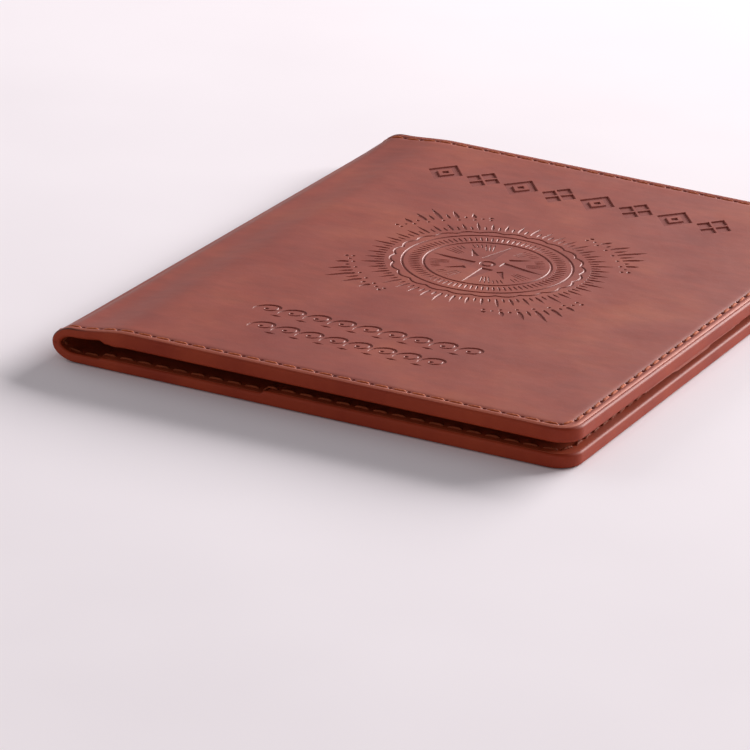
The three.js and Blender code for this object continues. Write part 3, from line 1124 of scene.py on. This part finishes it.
# %% Scatter points on a pocket
POCKET_STEP = 2.4
CREASED_RUN = 3.2
TOP_STEP = (1.2, 0.3)
SIDE_STEP = (0.2, POCKET_STEP)
SIDE_RUN = 3.5
STRIP_RAMP_STEP = (3.0, 0.4)
RAMP_REACH = 1.2
FINE_CLEAR, COARSE_CLEAR = 0.4, 0.9


def crease_spots(x_low, x_high, y_low, y_high, step, open_edge):
    """Close points along an open edge, as far in as the crease reaches."""
    fine = grid(x_low, x_high, y_low, y_high, *step, INNER_INSET + FINE_CLEAR)
    return fine[open_edge(fine[:, 0], fine[:, 1]) < CREASED_RUN]


def strip_ramp_spots(x_low, y_low, y_high):
    """Points where a strip steps down over the end of the strip below it."""
    clear = INNER_INSET + FINE_CLEAR
    ramps = grid(x_low, fore_x, y_low, y_high, *STRIP_RAMP_STEP, clear)
    nearly = np.zeros(len(ramps), bool)
    for end in strip_ends[:-1]:
        nearly |= np.abs(ramps[:, 1] - end + STRIP_RAMP / 2) < RAMP_REACH
    return ramps[nearly]


# %% Cut a pocket that is open at its left side or at its top
TURNED_RUN = 0.5
CREASE = 0.12
CREASE_IN, CREASE_WIDTH = 1.8, 0.22
CUT_STEP = 1.6
CLEAR_OF_FINE, CLEAR_OF_ALL = 0.5, 0.15


def pocket(name, place, x_low, y_low, y_high, base, thick, opens):
    """A pocket sheet on the depth base(x, y), which opens at the "side" or at the "top"."""
    def open_edge(x, y):
        return x - x_low if opens == "side" else y_high - y

    def crease(x, y):
        away = open_edge(x, y)
        roll = thick / 2 * np.clip((TURNED_RUN - away) / TURNED_RUN, 0, 1) ** 2
        return roll + CREASE * hill(away, CREASE_IN, CREASE_WIDTH)

    def outer(x, y, marks):
        return base(x, y) + thick - crease(x, y)

    outline = patch(x_low, y_low, y_high, INNER_INSET, CUT_STEP)
    clear = INNER_INSET + COARSE_CLEAR
    coarse = grid(x_low, fore_x, y_low, y_high, POCKET_STEP, POCKET_STEP, clear)
    if opens == "side":
        fine = crease_spots(x_low, x_low + SIDE_RUN, y_low, y_high, SIDE_STEP, open_edge)
    else:
        fine = crease_spots(x_low, fore_x, y_low, y_high, TOP_STEP, open_edge)
    spots = np.vstack([far_from(coarse, fine, CLEAR_OF_FINE), fine])
    if opens == "top":
        ramps = strip_ramp_spots(x_low, y_low, y_high)
        spots = np.vstack([spots, far_from(ramps, spots, CLEAR_OF_ALL)])
    return make_sheet(name, place, outline, outer, base, lining_leather, (), spots)


# %% Sleeve, card panel and card strips
sleeve = pocket(
    "passport_sleeve_flap", back_place, sleeve_low.x, -head_y, head_y,
    lambda x, y: 0 * x + lining_depth + HAIR, sleeve_depth - lining_depth - HAIR, "side",
)
panel = pocket(
    "card_panel_sheet", front_place, panel_x, -head_y, head_y,
    lambda x, y: 0 * x + panel_depth + HAIR, PANEL - 2 * HAIR, "side",
)
strips = []
for index, (low, high) in enumerate(strip_corners):
    strips.append(pocket(
        f"card_strip_{index + 1}", front_place, strip_x, max(low.y, -head_y), high.y,
        lambda x, y, i=index: 0 * x + strip_floor + strip_step * under_strip(i, y), STRIP, "top",
    ))

# %% [markdown]
# ## The painted edges
#
# Edge paint is laid on in several coats over the cut edges of all the layers together, and
# sanded in between, so it ends as one smooth bead with round arrises. It is thin round the
# spine and thick along the covers. A bevelled curve has one section all along, and this one
# changes, so the bead is swept ring by ring: a flattened round as thick as the layers at that
# place. Round the spine its outer rim is coloured darker.

# %% Sections of the bead
BEAD_BASE = 0.62
BEAD_RADIUS = 0.58
ROUNDS_APART = 2.02
BEAD_ARC = np.radians(np.linspace(-90, 0, 9))


def bead_section(top, bottom):
    """Bulge and depth of a flat band with round arrises."""
    radius = min(BEAD_RADIUS, (bottom - top) / ROUNDS_APART)
    upper = np.column_stack([BEAD_BASE - radius + radius * np.cos(BEAD_ARC),
                             top + radius + radius * np.sin(BEAD_ARC)])
    lower = upper[::-1] * (1, -1) + (0, top + bottom)
    return np.vstack([upper, lower])


print("a section of the bead has", len(bead_section(0.0, 3.0)), "points outside")

# %% Sweep a bead of paint along the edge
BEAD_STEP = 0.6
BEAD_TOP = 0.1
POOLED = 1.9
FULLEST_Y = -60.0
BACK_IN, BACK_RISE = 0.15, 0.05
RIM_START, RIM_FADE = 5.0, 6.0
RIM_ROWS = 5


def bead(name, place, start_x, inside_depth):
    """The painted edge of one cover and its half of the spine."""
    points, outward = edge_walk(BEAD_BASE, start_x, BEAD_STEP)
    thick = inside_depth(points[:, 0], 0 * points[:, 0] + FULLEST_Y)
    sections, darker_rim = [], []
    for (x, y), (nx, ny), t in zip(points, outward, thick):
        bottom = max(t - SHEET_GAP, POOLED)
        bulge, depth = bead_section(BEAD_TOP, bottom).T
        section = np.column_stack([x + nx * bulge, y + ny * bulge, depth])
        back_x, back_y = x - nx * BACK_IN, y - ny * BACK_IN
        back = [[back_x, back_y, bottom - BACK_RISE], [back_x, back_y, BEAD_TOP + BACK_RISE]]
        sections.append(np.vstack([section, back]))
        # Round the spine, the first rows of every section are coloured darker.
        fade = 1 - smooth((x - start_x - RIM_START) / RIM_FADE)
        darker_rim.append(fade * (np.arange(len(sections[0])) < RIM_ROWS))
    rings, size = len(sections), len(sections[0])
    flat = np.vstack(sections)
    faces = []
    for i in range(rings - 1):
        for j in range(size):
            k = (j + 1) % size
            faces.append([i * size + j, i * size + k, (i + 1) * size + k, (i + 1) * size + j])
    faces.append(list(range(size)))
    faces.append([(rings - 1) * size + j for j in reversed(range(size))])
    return make_piece(name, place(flat[:, 0], flat[:, 1], flat[:, 2]), faces,
                      flat, lacquer, pressed=np.hstack(darker_rim))


front_bead = bead("front_painted_edge", front_place, upper_tip, front_inside)
back_bead = bead("back_painted_edge", back_place, lower_tip, back_inside)

# %% [markdown]
# ## Stitches
#
# The seam is a lock stitch in waxed two-ply thread. Each stitch comes up out of one hole,
# lies in the groove at a slight slant and dives into the next. One stitch could be modelled
# and copied along a curve, but copies don't bend with the spine. So each is swept in place,
# as a short tube whose section turns as it goes, which makes its two plies show.

# %% The shape of one stitch
# A stitch spans most of the way between two holes, slants across the groove, rises out of it
# and dives at both ends, where it is thinner and coloured darker as painted shade. The last
# three numbers give each stitch its own patch of dye.
RINGS = 13
SIDES = 10
THREAD_RADIUS = 0.42 * thread_width
FLATTENED = 0.72
FIRST, SPAN = 0.08, 0.84
SLANT = 0.1
RISE, DIVE = 0.08, 0.42
END_TAPER = 0.3
PLY = 0.13
PLY_TWIST = 5.5 * math.pi / 1.6
SHADED_END = 0.2
DYE_PITCH, DYE_LENGTH, DYE_WIDTH = 5.0, 3.0, 0.25
print(f"a stitch is {SPAN * STITCH:.1f} mm long and {2 * THREAD_RADIUS:.2f} mm wide")

# %% Sweep every stitch of a seam
def stitches(name, place, holes, surface, lift, finish):
    """Stitches between holes. lift is -1 on the outer face and 1 on the inside."""
    vertices, faces, pattern, dark = [], [], [], []
    for number, (a, b) in enumerate(zip(holes, holes[1:])):
        along = (b - a) / np.linalg.norm(b - a)
        aside = np.array([-along[1], along[0]])
        start = len(vertices)
        for j in range(RINGS):
            t = j / (RINGS - 1)
            end = abs(2 * t - 1)
            centre = a + (b - a) * (FIRST + SPAN * t) + aside * SLANT * (2 * t - 1)
            height = surface(centre[0], centre[1]) - lift * (DIVE * end ** 4 - RISE)
            for k in range(SIDES):
                angle = 2 * math.pi * k / SIDES
                ply = 1 + PLY * math.cos(2 * (angle - PLY_TWIST * t))
                size = THREAD_RADIUS * ply * (1 - END_TAPER * end ** 6)
                flat = centre + aside * size * math.cos(angle)
                vertices.append((*flat, height + FLATTENED * size * math.sin(angle)))
                pattern.append((number * DYE_PITCH + t * DYE_LENGTH, k * DYE_WIDTH, 0.0))
                # Painted shade at both ends, where the thread dives into the holes.
                dark.append(max(0.0, (end - 1 + SHADED_END) / SHADED_END))
        for j in range(RINGS - 1):
            for k in range(SIDES):
                m = (k + 1) % SIDES
                low, high = start + j * SIDES, start + (j + 1) * SIDES
                faces.append([low + k, low + m, high + m, high + k])
        faces.append([start + k for k in range(SIDES)])
        faces.append([start + (RINGS - 1) * SIDES + k for k in reversed(range(SIDES))])
    flat = np.array(vertices)
    return make_piece(name, place(flat[:, 0], flat[:, 1], flat[:, 2]), faces, pattern,
                      finish, pressed=dark)


# %% Sew the seams
FACE_SEAM_DEPTH = 0.2
INSIDE_SEAM_RISE = 0.08


def on_the_face(x, y):
    return FACE_SEAM_DEPTH


def proud_of(inside_depth):
    return lambda x, y: float(inside_depth(np.float64(x), np.float64(y))) + INSIDE_SEAM_RISE


front_outer = stitches("front_face_stitches", front_place, front_holes,
                       on_the_face, -1, needle_thread)
back_outer = stitches("back_face_stitches", back_place, back_holes,
                      on_the_face, -1, needle_thread)
front_inner = stitches("front_inside_stitches", front_place, front_holes,
                       proud_of(front_inside), 1, bobbin_thread_shaded)
back_inner = stitches("back_inside_stitches", back_place, back_holes,
                      proud_of(back_inside), 1, bobbin_thread_shaded)

side_x = (side_low.x + side_high.x) / 2
side_ys = np.linspace(side_high.y, side_low.y, round((side_high.y - side_low.y) / STITCH) + 1)
side_holes = np.column_stack([side_x + 0 * side_ys, side_ys])
side_stitches = stitches("card_side_stitches", front_place, side_holes,
                         proud_of(front_inside), 1, bobbin_thread_shaded)

# %% [markdown]
# ## Which piece moves with which cover
#
# The leather bends along two lines in the spine. Here only the boards, the sleeve, the card
# panel, the card strips and their side seam are attached to the body of their cover. The
# leather, the linings, the painted edges and the seams round the covers are fixed where they
# lie and are not attached to any cover, so nothing here folds them. Both halves reach the
# spine's own turn at its tip, so they are joined there.


def bend_lower(*pieces):
    for piece in pieces:
        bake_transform(piece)


def bend_upper(*pieces):
    for piece in pieces:
        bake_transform(piece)


bend_lower(back_leather, linings["back"], back_bead, back_outer, back_inner)
bend_upper(front_leather, linings["front"], front_bead, front_outer, front_inner)
for piece in (boards["back"], sleeve):
    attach(piece, "back_cover")
for piece in (boards["front"], panel, side_stitches, *strips):
    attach(piece, "front_cover")

# %% [markdown]
# ## What each piece stands for
#
# The frame's solids are split at the fold lines, because solids can't bend. Leather can, so
# here one piece stands for the parts on both sides of a fold. The table below says which of
# the frame's parts each piece replaces, and which of the holder's finishes it is made in.

# %% Say what each piece stands for, and which finish it takes
stands_for = [
    (front_leather, "outer_leather", ["front_cover_leather", "spine_leather"]),
    (back_leather, "outer_leather", ["back_cover_leather"]),
    (boards["front"], "stiffener_board", ["front_stiffener_board"]),
    (boards["back"], "stiffener_board", ["back_stiffener_board"]),
    (linings["front"], "lining_leather", ["front_lining", "spine_lining"]),
    (linings["back"], "lining_leather", ["back_lining"]),
    (sleeve, "lining_leather", ["passport_sleeve"]),
    (panel, "lining_leather", ["card_panel"]),
    (front_bead, "edge_paint", ["front_edge_paint", "spine_edge_paint_head"]),
    (back_bead, "edge_paint", ["back_edge_paint", "spine_edge_paint_tail"]),
    (front_outer, "thread", ["front_outer_stitching", "spine_outer_stitching_head"]),
    (back_outer, "thread", ["back_outer_stitching", "spine_outer_stitching_tail"]),
    (front_inner, "thread", ["front_inner_stitching", "spine_inner_stitching_head"]),
    (back_inner, "thread", ["back_inner_stitching", "spine_inner_stitching_tail"]),
    (side_stitches, "thread", ["card_slot_side_stitching"]),
]
for strip, name in zip(strips, ("top", "middle", "bottom")):
    stands_for.append((strip, "lining_leather", [f"card_slot_{name}"]))
for piece, finish, nodes in stands_for:
    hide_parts(*nodes)
print(len(stands_for), "pieces stand for", sum(len(n) for _, _, n in stands_for), "nodes")

# %% [markdown]
# ## Cut flat
#
# Soft sheets are cut flat. The leather and the lining are folded round the spine, and the
# pockets are laid on the lining, so no piece may have grown or shrunk on the way.

# %% [markdown]
# ## Table, light and camera
#
# Smooth leather is read by what it mirrors. A big soft light behind and above the holder
# lays a pale sheen over the front cover and leaves the near edge in its own shadow, which is
# what separates the two covers. A wide card at the left softens that shadow and gives the
# spine its sheen, and a weak one in front opens the near edge. The floor is plain and pale.

# %% Floor
def pale_floor():
    material, nodes, links, shader = new_material("pale_floor")
    coordinates = nodes.new("ShaderNodeTexCoord")
    cloudy = noise(nodes, links, coordinates.outputs["Object"], size_mm=60, detail=2.0)
    stops = [(0.3, (0.86, 0.805, 0.845)), (0.7, (0.89, 0.835, 0.875))]
    links.new(ramp(nodes, links, cloudy, stops), shader.inputs["Base Color"])
    shader.inputs["Roughness"].default_value = 0.8
    shader.inputs["Specular IOR Level"].default_value = 0.15
    return material


FLOOR_SIZE = 6
bpy.ops.mesh.primitive_plane_add(size=FLOOR_SIZE, location=(0, 0, 0))
floor = bpy.context.object
floor.name = "floor"
floor.data.materials.append(pale_floor())
floor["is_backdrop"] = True
print("floor:", FLOOR_SIZE, "m wide")

# %% Lights
def soft_light(name, place, target, size, energy, colour):
    data = bpy.data.lights.new(name, "AREA")
    data.shape = "RECTANGLE"
    data.size, data.size_y = size
    data.energy = energy
    data.color = colour
    light = bpy.data.objects.new(name, data)
    light.location = place
    direction = Vector(target) - Vector(place)
    light.rotation_euler = direction.to_track_quat("-Z", "Y").to_euler()
    bpy.context.scene.collection.objects.link(light)
    return light


world = bpy.data.worlds.new("studio")
bpy.context.scene.world = world
world.use_nodes = True
background = world.node_tree.nodes["Background"]
background.inputs["Color"].default_value = (1.0, 0.97, 0.99, 1)
background.inputs["Strength"].default_value = 0.26
soft_light("window", place=(0.64, 1.79, 0.58), target=(0, 0, 0),
           size=(1.6, 0.6), energy=98, colour=(1.0, 0.97, 0.965))
soft_light("left_card", place=(-1.6, 0.1, 0.8), target=(-0.1, -0.1, 0),
           size=(2.4, 0.8), energy=8.0, colour=(1.0, 0.975, 0.97))
soft_light("front_card", place=(0.1, -1.9, 0.3), target=(0, 0, 0),
           size=(1.2, 0.4), energy=4.5, colour=(1.0, 0.97, 0.96))
print("lights:", [light.name for light in bpy.data.lights])

# %% [markdown]
# ## Camera
#
# A long lens from far away keeps the edges of the covers almost parallel, so the holder keeps
# its proportions. The camera is placed by its direction and its distance from a point near
# the holder's tail, and is then rolled a little.

# %% Camera
CAMERA_AZIMUTH = 25.84
CAMERA_ELEVATION = 20.82
CAMERA_DISTANCE = 0.8945
CAMERA_ROLL = 2.44
CAMERA_TARGET = Vector((0.0016, -0.0454, 0))
CAMERA_LENS = 226.0

azimuth, elevation = math.radians(CAMERA_AZIMUTH), math.radians(CAMERA_ELEVATION)
back = Vector((
    math.sin(azimuth) * math.cos(elevation),
    -math.cos(azimuth) * math.cos(elevation),
    math.sin(elevation),
))
camera_data = bpy.data.cameras.new("camera")
camera_data.lens = CAMERA_LENS
camera_data.sensor_width = 36
camera_data.clip_start = 0.01
camera = bpy.data.objects.new("camera", camera_data)
camera.location = CAMERA_TARGET + back * CAMERA_DISTANCE
aim = (-back).to_track_quat("-Z", "Y").to_matrix()
roll = Vector((0, 0, 1))
camera.rotation_mode = "QUATERNION"
turn = Quaternion(roll, math.radians(CAMERA_ROLL))
camera.rotation_quaternion = aim.to_quaternion() @ turn
bpy.context.scene.collection.objects.link(camera)
bpy.context.scene.camera = camera
bpy.context.scene.view_settings.view_transform = "Standard"
print(f"camera: {CAMERA_LENS:.0f} mm lens, {CAMERA_DISTANCE:.2f} m away")

# %% [markdown]
# ## Measure
#
# The whole should still fill the frame's box. The soft spine stands out a little further than
# the frame's, so the two boxes are written side by side.

# %% Finish
low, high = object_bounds()
print("frame", [round(v / MM, 2) for v in frame_high - frame_low],
      "visual", [round(v / MM, 2) for v in high - low])
